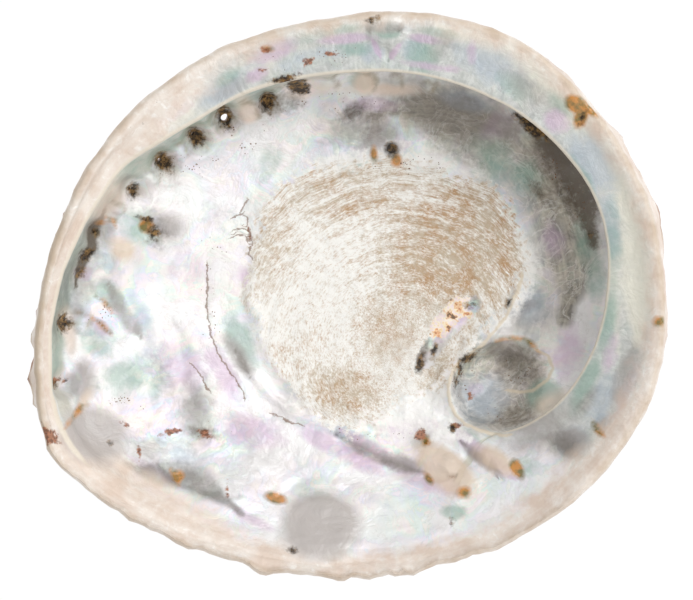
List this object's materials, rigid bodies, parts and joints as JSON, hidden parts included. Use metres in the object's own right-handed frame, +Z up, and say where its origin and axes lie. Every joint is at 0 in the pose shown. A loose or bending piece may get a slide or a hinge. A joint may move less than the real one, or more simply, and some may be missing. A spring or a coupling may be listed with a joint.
{
  "type": "abalone shell",
  "caption": "Ear-shaped sea shell lying on its back, an open pearly bowl with a curled-in shelf, a row of breathing pores and the hollow of its spire.",
  "frame": {"origin": "under the middle of the bounding box, on the surface that the shell lies on", "axes": "+Z up, out of the open side; +X along the shell's length, towards the spire end; +Y across it, towards the side with the shelf"},
  "size_m": [0.1605, 0.1434, 0.042],
  "materials": {
    "nacre": "pearly, softly glossy"
  },
  "bodies": {
    "root": {"shell": "nacre"}
  },
  "joints": []
}
